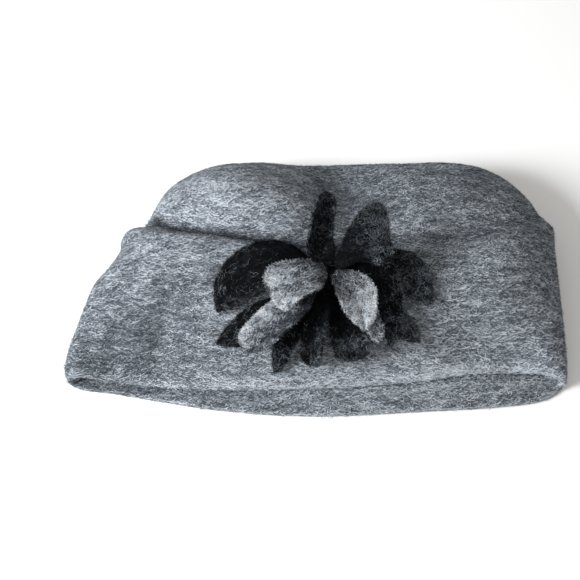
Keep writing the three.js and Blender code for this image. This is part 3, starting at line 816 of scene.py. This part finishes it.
@dataclass
class FeltCap:
    """The cap: a pouch of thick felt, open at the rim and folded into a tuck across its front.

    Lengths are millimetres. The tones are painted: painted shade, how much darker the wool is drawn in
    the bottom of the tuck's crease, which lies at crease_row of the front, and a painted highlight, how
    much paler it is drawn along the rim's edge, where it catches the light.
    """

    rim_width: float = 290.0
    cap_length: float = 162.0
    puff: float = 38.0
    fold_height: float = 17.0
    side_reach: float = 52.0
    end_reach: float = 40.0
    wall: float = 3.0
    rim_gap: float = 7.0
    tuck_height: float = 6.5
    lip: float = 1.2
    rim_rest: float = 0.1
    rim_reach: float = 0.17
    tuck_line: float = 0.69
    crevice: float = 6.0
    painted_crease_shade: float = 1.0
    crease_row: float = 15.5
    crease_rows: float = 1.05
    rim_painted_highlight: float = 0.26
    rim_highlight_rows: float = 0.5
    cut_width: float = 580.0
    cut_length: float = 172.0
    cut_area: float = 0.092
    columns: int = 200
    rows: int = 150
    lining_rows: int = 40
    lumps: float = 0.45
    finish: FeltFinish = field(
        default_factory=lambda: FeltFinish(
            "milled wool felt, heather grey", "#363a3f", "#60666d", "#999fa7", Follow.OBJECT
        )
    )
    fibre: FibreFinish = field(
        default_factory=lambda: FibreFinish(
            "loose wool fibres, heather grey", "#33373c", "#656b72", "#c6ccd3"
        )
    )

    def build(self) -> bpy.types.Object:
        """Builds the cap's felt and its loose fibres.

        Returns:
            The felt shell.
        """
        shell = self._shell()
        shell.data.materials.append(self.finish.material())
        material = self.fibre.material()
        fuzz = [
            Fuzz(density=480000, length=5.4, width=0.27, spread=34, lift=4, arch=1.0, seed=3),
            Fuzz(density=480000, length=3.8, width=0.24, spread=80, lift=11, arch=1.1, seed=4),
        ]
        for i, kind in enumerate(fuzz):
            fibres = kind.scatter(f"cap_fibres_{i + 1}", shell, material)
            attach(fibres, BODY)
            LOG.info("%s: %d faces", fibres.name, len(fibres.data.polygons))
        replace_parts(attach(shell, BODY), "cap_shell")
        LOG.info("%s: %d faces", shell.name, len(shell.data.polygons))
        return shell

    def _plan(
        self, front: bool, across: np.ndarray, along: np.ndarray, inset: float
    ) -> tuple[np.ndarray, ...]:
        """Where a layer's points are, seen from above.

        Args:
            front: Whether it is the front layer.
            across: Places across the cap, from 0 to 1.
            along: Places from the opening to the crown, from 0 to 1.
            inset: How deep in the felt they are.

        Returns:
            x, y, and the distance from the nearer side fold.
        """
        read = {
            name: curve_through(column(SECTIONS, "along"), column(SECTIONS, name), along)
            for name in Section._fields[1:5]
        }
        left = read["left_x"] * self.rim_width + inset
        right = read["right_x"] * self.rim_width - inset
        near_rim = 1 - smooth(along / self.tuck_line)
        near_end = smooth((along - self.tuck_line) / (1 - self.tuck_line))
        bows = {
            name: curve_through(column(BOWS, "across"), column(BOWS, name), across)
            for name in Bow._fields[1:5]
        }
        bow = bows["front_rim" if front else "back_rim"] * near_rim + bows["end"] * near_end
        if front:
            bow = bow + bows["tuck"] * (1 - near_rim) * (1 - near_end)
        x = mix(left, right, across)
        y = (mix(read["left_y"], read["right_y"], across) + bow) * self.cap_length - inset * along**3
        return x, y, np.minimum(x - left, right - x)

    def _patched(self, patches: list[Patch], x: np.ndarray, y: np.ndarray) -> np.ndarray:
        """Adds up soft patches at each place, seen from above.

        Args:
            patches: The patches.
            x: The places' x, in millimetres.
            y: The places' y, in millimetres.

        Returns:
            The patches' amounts at each place, added up.
        """
        total = np.zeros_like(x)
        for patch in patches:
            dx, dy = x - patch.x * self.rim_width, y - patch.y * self.cap_length
            c, s = math.cos(math.radians(patch.turn)), math.sin(math.radians(patch.turn))
            u = (dx * c + dy * s) / (patch.long * self.cap_length)
            v = (dy * c - dx * s) / (patch.wide * self.cap_length)
            total += patch.amount * np.exp(-u * u - v * v)
        return total

    def _layer(self, front: bool, across: np.ndarray, along: np.ndarray, inset: float) -> np.ndarray:
        """Points of the front or the back layer, at a depth into the felt.

        Args:
            front: Whether it is the front layer.
            across: Places across the cap, from 0 to 1.
            along: Places from the opening to the crown, from 0 to 1.
            inset: How deep in the felt they are.

        Returns:
            The points, with x, y and z last.
        """
        x, y, side = self._plan(front, across, along, inset)
        end_y = self._plan(front, across, np.ones_like(along), inset)[1]
        to_end = np.maximum(0, end_y - y)
        places = column(SECTIONS, "along")
        fold = curve_through(places, column(SECTIONS, "fold"), along) * self.fold_height
        if not front:
            rounding = bulge(side, fold - inset / 2) * bulge(to_end, fold - inset / 2)
            return np.stack([x, y, fold - (fold - inset) * rounding], axis=-1)
        rim_top = 2 * self.wall + self.rim_gap
        top = rim_top + curve_through(places, column(SECTIONS, "puff"), along) * (self.puff - rim_top) - inset
        share = np.clip((top + inset - fold) / (self.puff - self.fold_height), 0, 1)
        reach = self.side_reach * mix(0.12, 1, share)
        rounding = bulge(side, reach - inset) * bulge(to_end, self.end_reach - inset)
        near_rim = 1 - smooth(along / 0.12)
        dents = self._patched(DENTS, x, y) * self.puff * rounding * (1 - 0.6 * near_rim)
        z = fold + (top - fold) * rounding - dents
        if inset > 0:
            # The inside follows the crown down into the crevice beyond the tuck's folded edge.
            strength = curve_through(column(BOWS, "across"), column(BOWS, "folded"), across)
            z = z - strength * self.crevice * np.exp(-(((along - self.tuck_line - 0.03) / 0.07) ** 2))
        # The soft edge of the front sinks until it lies just over the inside of the back.
        near = 1 - smooth(along / self.rim_reach)
        sunk = (self.rim_gap - self.rim_rest) * near * smooth(side / self.side_reach * 1.6)
        return np.stack([x, y, z - sunk], axis=-1)

    def _front(self, across: np.ndarray, row: np.ndarray) -> np.ndarray:
        """Points of the front's outside, with the tuck folded as strongly as it is there.

        Args:
            across: Places across the cap, from 0 to 1.
            row: Places among the front's rows, from 0 to 1.

        Returns:
            The points.
        """
        numbers = np.arange(len(FRONT_ROWS), dtype=float)
        at = row * numbers[-1]
        flat, folded, lift = (
            curve_through(numbers, column(FRONT_ROWS, name), at) for name in FrontRow._fields
        )
        strength = curve_through(column(BOWS, "across"), column(BOWS, "folded"), across)
        points = self._layer(True, across, mix(flat, folded, strength), 0)
        points[..., 2] += strength * lift * self.tuck_height
        return points

    def _shell(self) -> bpy.types.Object:
        """Joins the outside, the inside and the rounded edge of the felt into one closed mesh."""
        even = np.linspace(0, 1, self.columns + 1)
        places = mix(even, (1 - np.cos(even * np.pi)) / 2, 0.75)
        across, row = np.meshgrid(places, np.linspace(0, 1, self.rows + 1))
        numbers = np.arange(len(FRONT_ROWS), dtype=float)
        flat = curve_through(numbers, column(FRONT_ROWS, "flat"), row * numbers[-1])
        in_across, in_along = np.meshgrid(places, smooth(np.linspace(0, 1, self.lining_rows + 1)) ** 0.8)
        layers = [
            self._front(across, row),
            self._layer(False, across, flat, 0),
            self._layer(True, in_across, in_along, self.wall),
            self._layer(False, in_across, in_along, self.wall),
        ]
        points: list[np.ndarray] = []
        numbered = []
        count = 0
        for layer in layers:
            numbered.append(count + np.arange(layer[..., 0].size).reshape(layer.shape[:2]))
            points.append(layer.reshape(-1, 3))
            count += layer[..., 0].size
        for front, back in ((0, 1), (2, 3)):
            numbered[back][:, 0] = numbered[front][:, 0]
            numbered[back][:, -1] = numbered[front][:, -1]
            numbered[back][-1] = numbered[front][-1]
        faces = [
            grid_quads(numbered[0]),
            grid_quads(numbered[1][:, ::-1]),
            grid_quads(numbered[2][:, ::-1]),
            grid_quads(numbered[3]),
        ]
        every = np.concatenate(points)
        rings = [
            np.concatenate([numbered[f][0], numbered[b][0][1:-1][::-1], numbered[f][0][:1]])
            for f, b in ((0, 1), (2, 3))
        ]
        outer, inner = every[rings[0][:-1]], every[rings[1][:-1]]
        middle = (outer + inner) / 2
        edge = [rings[1]]
        for angle in np.radians((135, 90, 45)):
            ring = middle + (outer - middle) * math.cos(angle)
            ring[:, 1] -= self.lip * math.sin(angle)
            every = np.concatenate([every, ring])
            edge.append(np.append(count + np.arange(len(ring)), count))
            count += len(ring)
        edge.append(rings[0])
        faces += [quads(a, b) for a, b in zip(edge, edge[1:])]
        box = every.min(0), every.max(0)
        every = every - np.array([(box[0][0] + box[1][0]) / 2, (box[0][1] + box[1][1]) / 2, box[0][2]])
        every = self._lumped(every, layers[0][..., 0].size)
        shell = mesh_object("felt_cap", every, faces)
        self._mark(shell)
        return shell

    def _lumped(self, points: np.ndarray, outside: int) -> np.ndarray:
        """Adds the small soft lumps of thick felt to the front.

        Args:
            points: All the cap's points.
            outside: How many of them, from the first, are the front's outside.

        Returns:
            The points, moved.
        """
        front = points[:outside].reshape(self.rows + 1, self.columns + 1, 3).copy()
        flat = front.reshape(-1, 3)
        hills = soft_noise(flat, 26, 1) * 0.9 + soft_noise(flat, 11, 2) * 0.6 + soft_noise(flat, 5, 3) * 0.25
        fade = np.minimum.outer(
            *(
                smooth(np.minimum(np.arange(count + 1), count - np.arange(count + 1)) / 9)
                for count in (self.rows, self.columns)
            )
        )
        flat[:, 2] += hills * self.lumps * fade.ravel()
        moved = points.copy()
        moved[:outside] = flat
        return moved

    def _mark(self, shell: bpy.types.Object) -> None:
        """Says where loose fibres grow, how dark the wool is drawn with its painted light and shade, and which way
        the fibres lie.

        Args:
            shell: The felt shell, which keeps the three as attributes.
        """
        mesh = shell.data
        normals = np.zeros(len(mesh.vertices) * 3, np.float32)
        mesh.vertices.foreach_get("normal", normals)
        normals = normals.reshape(-1, 3)
        spots = np.zeros(len(mesh.vertices) * 3, np.float32)
        mesh.vertices.foreach_get("co", spots)
        spots = spots.reshape(-1, 3) / MM
        on_top = np.clip((spots[:, 2] - 1.0) / 3, 0, 1) * np.clip(normals[:, 2] + 1.2, 0.2, 1)
        sole = (spots[:, 2] < 5) & (normals[:, 2] > 0.3) & (spots[:, 1] < -38)
        store(shell, "fuzz", np.where(sole, 1.0, on_top))
        # Patches of painted light and painted shade over the front.
        dye_and_painted_light = self._patched(PAINTED_LIGHT_AND_SHADE, spots[:, 0], spots[:, 1])
        # Painted shade: the wool is drawn darker in the bottom of the tuck's crease, where shade falls.
        across, row = np.meshgrid(np.linspace(0, 1, self.columns + 1), np.linspace(0, 1, self.rows + 1))
        number = (row * (len(FRONT_ROWS) - 1)).ravel()
        folded = curve_through(column(BOWS, "across"), column(BOWS, "folded"), across.ravel())
        inside = smooth((across.ravel() - 0.015) / 0.07)
        crease_shade_mask = np.exp(-(((number - self.crease_row) / self.crease_rows) ** 2))
        dye_and_painted_light[: number.size] -= self.painted_crease_shade * folded * inside * crease_shade_mask
        # Painted highlight: the last few millimetres of the front, and the rounded cut edge itself, are drawn paler
        # where the rim's edge catches the light.
        dye_and_painted_light[: number.size] += self.rim_painted_highlight * np.exp(-((number / self.rim_highlight_rows) ** 2))
        dye_and_painted_light[-6 * self.columns :] += self.rim_painted_highlight
        store(shell, "dye_and_painted_light", dye_and_painted_light)
        flow = np.zeros_like(normals)
        flow[:, 0] = 1.0
        flow[:, 1] = 0.25 * soft_noise(spots, 30, 9)
        store(shell, "flow", flow)


@dataclass
class FeltFlower:
    """The flower: petals of charcoal and light heather felt, sewn to a gathered core."""

    radius: float = 60.0
    felt: float = 2.2
    root: float = 4.2
    top_root: float = 6.5
    core_radius: float = 4.6
    core_height: float = 10.4
    storeys: float = 15.5
    top_seat: float = 3.0
    seat_gap: float = 0.3
    edge_tone: float = 0.08
    mottle: float = 0.26
    rows: int = 56
    around: int = 44
    finishes: dict[Tone, FeltFinish] = field(
        default_factory=lambda: {
            Tone.CHARCOAL: FeltFinish(
                "milled wool felt, charcoal",
                ground="#020304",
                body="#07080a",
                pale="#1b1d21",
                follow=Follow.PIECE,
                strokes=0.3,
                bloom=0.0,
            ),
            Tone.MIXED: FeltFinish(
                "milled wool felt, charcoal and grey",
                ground="#050608",
                body="#101316",
                pale="#3c4147",
                follow=Follow.PIECE,
                strokes=0.3,
                bloom=0.0,
            ),
            Tone.LIGHT: FeltFinish(
                "milled wool felt, light heather",
                ground="#22262b",
                body="#50555b",
                pale="#8b9198",
                follow=Follow.PIECE,
                strokes=0.3,
                blotch=2.0,
                bloom=0.1,
            ),
        }
    )
    fibres: dict[Tone, FibreFinish] = field(
        default_factory=lambda: {
            Tone.CHARCOAL: FibreFinish(
                "loose wool fibres, charcoal", "#020304", "#0b0d0f", "#666c72", drift=0.12, middle_at=0.85
            ),
            Tone.MIXED: FibreFinish(
                "loose wool fibres, charcoal and grey",
                "#030405",
                "#111316",
                "#787e84",
                drift=0.24,
                middle_at=0.79,
            ),
            Tone.LIGHT: FibreFinish(
                "loose wool fibres, light heather", "#14171c", "#494e55", "#d2d6da", drift=0.4, middle_at=0.56
            ),
        }
    )

    def build(self, cap: bpy.types.Object) -> None:
        """Builds the core and the petals over the cap.

        Args:
            cap: The felt shell, which the petals lie over.
        """
        self.tree = BVHTree.FromPolygons(
            [v.co.copy() for v in cap.data.vertices], [list(p.vertices) for p in cap.data.polygons]
        )
        low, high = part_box("flower_core")
        self.foot = np.array([(low.x + high.x) / 2, (low.y + high.y) / 2, low.z]) / MM
        finishes = {tone: finish.material() for tone, finish in self.finishes.items()}
        fibres = {tone: finish.material() for tone, finish in self.fibres.items()}
        self._core(finishes[Tone.CHARCOAL])
        for number, petal in enumerate(PETALS):
            piece, flat, area = self._petal(petal)
            piece.data.materials.append(finishes[petal.tone])
            fuzz = Fuzz(
                density=1900000,
                length=2.5,
                width=0.15,
                spread=90,
                lift=5,
                arch=1.2,
                seed=20 + number,
                clear=0.08,
            )
            loose = fuzz.scatter(petal.node + "_fibres", piece, fibres[petal.tone])
            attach(loose, BODY)
            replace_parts(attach(piece, BODY), petal.node)
            faces, fibre_faces = len(piece.data.polygons), len(loose.data.polygons)
            LOG.info("%s: %d faces, %d fibre faces", piece.name, faces, fibre_faces)

    def _over_cap(self, x: float, y: float) -> float:
        """Height of the cap's front over a place, in millimetres."""
        hit = self.tree.ray_cast(Vector((x * MM, y * MM, 1.0)), Vector((0, 0, -1)))[0]
        return hit.z / MM if hit else 0.0

    def _line(self, petal: Petal) -> np.ndarray:
        """The three points that a petal's middle line is drawn from."""
        turn = math.radians(petal.turn)
        out = self.top_seat if petal.tier == 3 else self.core_radius + self.seat_gap
        storey = (self.storeys - self.felt) / 4
        height = self.felt * 0.9 + petal.tier * storey
        root = self.foot + np.array([math.cos(turn) * out, math.sin(turn) * out, height])
        ends = []
        for x, y, rise in (petal.mid, petal.tip):
            place = self.foot[:2] + np.array([x, y]) * self.radius
            ends.append(np.array([*place, self._over_cap(*place) + rise * self.storeys]))
        return np.stack([root, 2 * ends[0] - 0.5 * root - 0.5 * ends[1], ends[1]])

    def _half(self, petal: Petal, q: np.ndarray) -> tuple[np.ndarray, np.ndarray]:
        """A petal's half widths at places along it, left and right of its middle line."""
        root = (self.top_root if petal.tier == 3 else self.root) / 2
        ended = (1 - np.clip((q - 0.88) / 0.12, 0, 1) ** 2.2) ** (1 / 2.2)
        places = np.array((0.0, *STATIONS))
        sides = (
            curve_through(places, np.array((root, *side), float), q) for side in (petal.left, petal.right)
        )
        left, right = (np.maximum(side * ended, 0.8) for side in sides)
        return left, right

    def _petal(self, petal: Petal) -> tuple[bpy.types.Object, tuple[float, float], float]:
        """Builds one petal as thick felt with soft edges.

        Args:
            petal: Its row of the table.

        Returns:
            The piece, its flat width and length in metres, and its flat area in square metres.
        """
        line = self._line(petal)
        even = np.linspace(0, 1, self.rows + 1)
        q = mix(even, np.sin(even * np.pi / 2), 0.6)
        shares = ((1 - q) ** 2, 2 * q * (1 - q), q**2)
        middle = shares[0][:, None] * line[0] + shares[1][:, None] * line[1] + shares[2][:, None] * line[2]
        along = (2 * (1 - q))[:, None] * (line[1] - line[0]) + (2 * q)[:, None] * (line[2] - line[1])
        along /= np.linalg.norm(along, axis=1, keepdims=True)
        outward = np.array([math.cos(math.radians(petal.turn)), math.sin(math.radians(petal.turn)), 0.0])
        along = mix(along, outward, (1 - smooth(q / 0.15))[:, None])
        along /= np.linalg.norm(along, axis=1, keepdims=True)
        side = np.cross([0.0, 0.0, 1.0], along)
        side /= np.linalg.norm(side, axis=1, keepdims=True)
        roll = (math.radians(petal.roll) * smooth(q / 0.5))[:, None]
        side = side * np.cos(roll) + np.cross(along, side) * np.sin(roll)
        up = np.cross(along, side)
        left, right = self._half(petal, q)
        curl = np.maximum(math.radians(petal.cup) * smooth(q / 0.4), 0.02)
        turn = np.linspace(0, 2 * np.pi, self.around, endpoint=False)
        wide = np.sign(np.cos(turn)) * np.abs(np.cos(turn)) ** 0.7
        thick = np.sign(np.sin(turn)) * np.abs(np.sin(turn)) ** 0.8
        ends = np.sqrt(np.clip((1 - q) / 0.03, 0, 1)) * np.sqrt(np.clip(q / 0.02 + 0.4, 0, 1))
        depth = self.felt / 2 * thick[None, :] * np.maximum(ends, 0.15)[:, None]
        grown = smooth(q / 0.45)[:, None]
        depth = depth - petal.crease * grown * np.exp(-((wide[None, :] / 0.22) ** 2))
        seed = float(sum(map(ord, petal.node)) % 97)
        ripple = np.sin(q[:, None] * 9 + seed + wide[None, :] * 1.6) * np.abs(wide[None, :]) ** 2
        depth = depth + petal.ripple * grown * ripple
        angle = wide[None, :] * curl[:, None]
        half = np.where(wide[None, :] > 0, left[:, None], right[:, None])
        bend = half / curl[:, None]
        points = (
            middle[:, None, :]
            + side[:, None, :] * ((bend - depth) * np.sin(angle))[..., None]
            + up[:, None, :] * (bend * (1 - np.cos(angle)) + depth * np.cos(angle))[..., None]
        )
        uneven = soft_noise(points.reshape(-1, 3), 6, seed).reshape(points.shape[:2])
        points += up[:, None, :] * (uneven * 0.35 * grown)[..., None]
        frayed = soft_noise(points.reshape(-1, 3), 3.5, seed + 1).reshape(points.shape[:2])
        points += side[:, None, :] * (frayed * 0.4 * grown * wide[None, :])[..., None]
        edge = np.maximum(smooth((np.abs(wide)[None, :] - 0.75) / 0.25), smooth((q - 0.86) / 0.14)[:, None])
        # Painted shade darkens each petal towards its root, where the petals crowd in at the core. The tip and side
        # terms are partly the felt's own tone and partly painted light and shade. The cut edges are drawn paler,
        # and the mottling is the felt's own uneven tone.
        root, tip, leftward = petal.dye_and_painted_light
        dye_and_painted_light = mix(root, tip, smooth(q / 0.8))[:, None] + leftward * wide[None, :] + self.edge_tone * edge
        dye_and_painted_light = dye_and_painted_light + self.mottle * soft_noise(points.reshape(-1, 3), 4.5, seed + 2).reshape(points.shape[:2])
        return self._closed(petal, points, along, half * wide[None, :], edge, dye_and_painted_light)

    def _closed(
        self,
        petal: Petal,
        points: np.ndarray,
        along: np.ndarray,
        aside: np.ndarray,
        edge: np.ndarray,
        dye_and_painted_light: np.ndarray,
    ) -> tuple[bpy.types.Object, tuple[float, float], float]:
        """Closes a petal's rings into a piece, with its own length and width as a map.

        Args:
            petal: Its row of the table.
            points: Its rings of points.
            along: Its direction at each ring.
            aside: How far aside of its middle line each point is, along the felt.
            edge: How near its cut edge each point is, from 0 to 1.
            dye_and_painted_light: How much paler than the ordinary tone each point is.

        Returns:
            The piece, its flat width and length in metres, and its flat area in square metres.
        """
        rings, around = points.shape[:2]
        numbers = np.arange(rings * around).reshape(rings, around)
        closed = np.concatenate([numbers, numbers[:, :1]], axis=1)
        root, tip = points[0].mean(0), points[-1].mean(0)
        every = np.concatenate([points.reshape(-1, 3), [root, tip]])
        first, last = rings * around, rings * around + 1
        fans = [
            np.stack([np.full(around, first), closed[0][1:], closed[0][:-1]], axis=1),
            np.stack([np.full(around, last), closed[-1][:-1], closed[-1][1:]], axis=1),
        ]
        piece = mesh_object(petal.node + "_felt", every, [grid_quads(closed)] + fans)
        steps = np.linalg.norm(np.diff(points.mean(1), axis=0), axis=1)
        run = np.concatenate([[0], np.cumsum(steps)])
        seed = float(sum(map(ord, petal.node)) % 97)
        length_map = np.concatenate([np.repeat(run, around), [run[0], run[-1]]]) + seed * 7
        width_map = np.concatenate([aside.ravel(), [0.0, 0.0]]) + seed * 3
        layer = piece.data.uv_layers.new(name="felt")
        corners = np.zeros(len(piece.data.loops), np.int32)
        piece.data.loops.foreach_get("vertex_index", corners)
        maps = np.stack([length_map[corners], width_map[corners]], axis=1) * MM
        layer.data.foreach_set("uv", maps.astype(np.float32).ravel())
        store(piece, "fuzz", 0.6 + 1.4 * np.concatenate([edge.ravel(), [0.0, 1.0]]))
        store(piece, "dye_and_painted_light", np.concatenate([dye_and_painted_light.ravel(), [dye_and_painted_light[0].mean(), dye_and_painted_light[-1].mean()]]))
        store(piece, "flow", np.concatenate([np.repeat(along, around, axis=0), along[:1], along[-1:]]))
        across = aside.max(1) - aside.min(1)
        area = float(np.sum((across[1:] + across[:-1]) / 2 * np.diff(run))) * MM * MM
        width, length = float(across.max()) * MM, float(run[-1]) * MM
        area = min(max(area, 0.31 * width * length), width * length)
        return piece, (max(width, 0.0101), length), area

    def _core(self, material: bpy.types.Material) -> None:
        """The gathered knot in the middle: felt pulled into folds by the sewing.

        Args:
            material: The charcoal felt.
        """
        rings, around, folds = 26, 72, 7
        q = np.linspace(0, 1, rings)
        turn = np.linspace(0, 2 * np.pi, around, endpoint=False)
        domed = np.sqrt(np.clip(1 - np.clip((q - 0.7) / 0.3, 0, 1) ** 2.4, 0, 1))
        profile = self.core_radius * domed * mix(0.94, 1, smooth(q / 0.2))
        gather = 1 - 0.16 * (0.5 + 0.5 * np.cos(folds * turn[None, :] + 2.2 * q[:, None]))
        radius = profile[:, None] * gather
        x, y = radius * np.cos(turn), radius * np.sin(turn)
        z = np.repeat((q * self.core_height)[:, None], around, axis=1)
        points = np.stack([x, y, z], axis=-1) + self.foot
        numbers = np.arange(rings * around).reshape(rings, around)
        closed = np.concatenate([numbers, numbers[:, :1]], axis=1)
        foot = self.foot
        every = np.concatenate([points.reshape(-1, 3), [foot, foot + np.array([0, 0, self.core_height])]])
        first = rings * around
        fans = [
            np.stack([np.full(around, first), closed[0][1:], closed[0][:-1]], axis=1),
            np.stack([np.full(around, first + 1), closed[-1][:-1], closed[-1][1:]], axis=1),
        ]
        core = mesh_object("flower_core_felt", every, [grid_quads(closed)] + fans)
        layer = core.data.uv_layers.new(name="felt")
        corners = np.zeros(len(core.data.loops), np.int32)
        core.data.loops.foreach_get("vertex_index", corners)
        round_it = np.arctan2(every[:, 1] - foot[1], every[:, 0] - foot[0]) * self.core_radius
        flat = np.stack([every[:, 2], round_it], axis=1)
        layer.data.foreach_set("uv", (flat[corners] * MM).astype(np.float32).ravel())
        core.data.materials.append(material)
        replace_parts(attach(core, BODY), "flower_core")
        LOG.info("%s: %d faces", core.name, len(core.data.polygons))


@dataclass
class Studio:
    """The pale floor, the soft light from the upper left, and the camera over the opening's side."""

    elevation: float = 60.0
    distance: float = 800.0
    focal_share: float = 1347 / 580
    look: tuple[float, float, float] = (-14.9, -4.7, 12.0)
    floor_tone: str = "#f8f8f7"
    sky: float = 0.52
    key: float = 30.0
    key_place: tuple[float, float, float] = (-1.08, -0.36, 0.66)
    key_size: tuple[float, float] = (0.5, 0.5)

    def build(self) -> None:
        """Builds the floor, the lights and the camera."""
        bpy.context.scene.view_settings.view_transform = "Standard"
        self._floor()
        self._lights()
        self._camera()

    def _floor(self) -> None:
        """A wide matt floor just under the cap."""
        reach = 3000.0
        square = ((-reach, -reach), (reach, -reach), (reach, reach), (-reach, reach))
        corners = np.array([[x, y, -0.05] for x, y in square])
        floor = mesh_object("studio_floor", corners, [np.array([[0, 1, 2, 3]])])
        material = bpy.data.materials.new("matt white card")
        material.use_nodes = True
        shader = material.node_tree.nodes["Principled BSDF"]
        shader.inputs["Base Color"].default_value = linear(self.floor_tone)
        shader.inputs["Roughness"].default_value = 0.9
        floor.data.materials.append(material)

    def _lights(self) -> None:
        """An even pale sky and one large soft lamp at the upper left."""
        world = bpy.data.worlds.new("pale sky")
        bpy.context.scene.world = world
        world.use_nodes = True
        background = world.node_tree.nodes["Background"]
        background.inputs["Color"].default_value = (1.0, 0.985, 0.96, 1.0)
        background.inputs["Strength"].default_value = self.sky
        lamp = bpy.data.lights.new("window", "AREA")
        lamp.shape = "RECTANGLE"
        lamp.size, lamp.size_y = self.key_size
        lamp.energy = self.key
        lamp.color = (0.955, 0.98, 1.0)
        window = bpy.data.objects.new("window", lamp)
        window.location = self.key_place
        window.rotation_euler = (Vector((0, 0, 0.02)) - window.location).to_track_quat("-Z", "Y").to_euler()
        bpy.context.scene.collection.objects.link(window)

    def _camera(self) -> None:
        """The camera, at the photograph's height and distance."""
        lens = bpy.data.cameras.new("camera")
        lens.sensor_width = 36.0
        lens.lens = self.focal_share * lens.sensor_width
        lens.clip_start, lens.clip_end = 0.02, 20
        camera = bpy.data.objects.new("camera", lens)
        angle = math.radians(self.elevation)
        forward = Vector((0, math.cos(angle), -math.sin(angle)))
        camera.location = (Vector(self.look) - forward * self.distance) * MM
        camera.rotation_euler = forward.to_track_quat("-Z", "Y").to_euler()
        bpy.context.scene.collection.objects.link(camera)
        bpy.context.scene.camera = camera


def main() -> None:
    """Builds the studio, the cap and the flower, in that order."""
    logging.basicConfig(level=logging.INFO, format="%(message)s")
    Studio().build()
    cap = FeltCap().build()
    FeltFlower().build(cap)


if __name__ == "__main__":
    main()
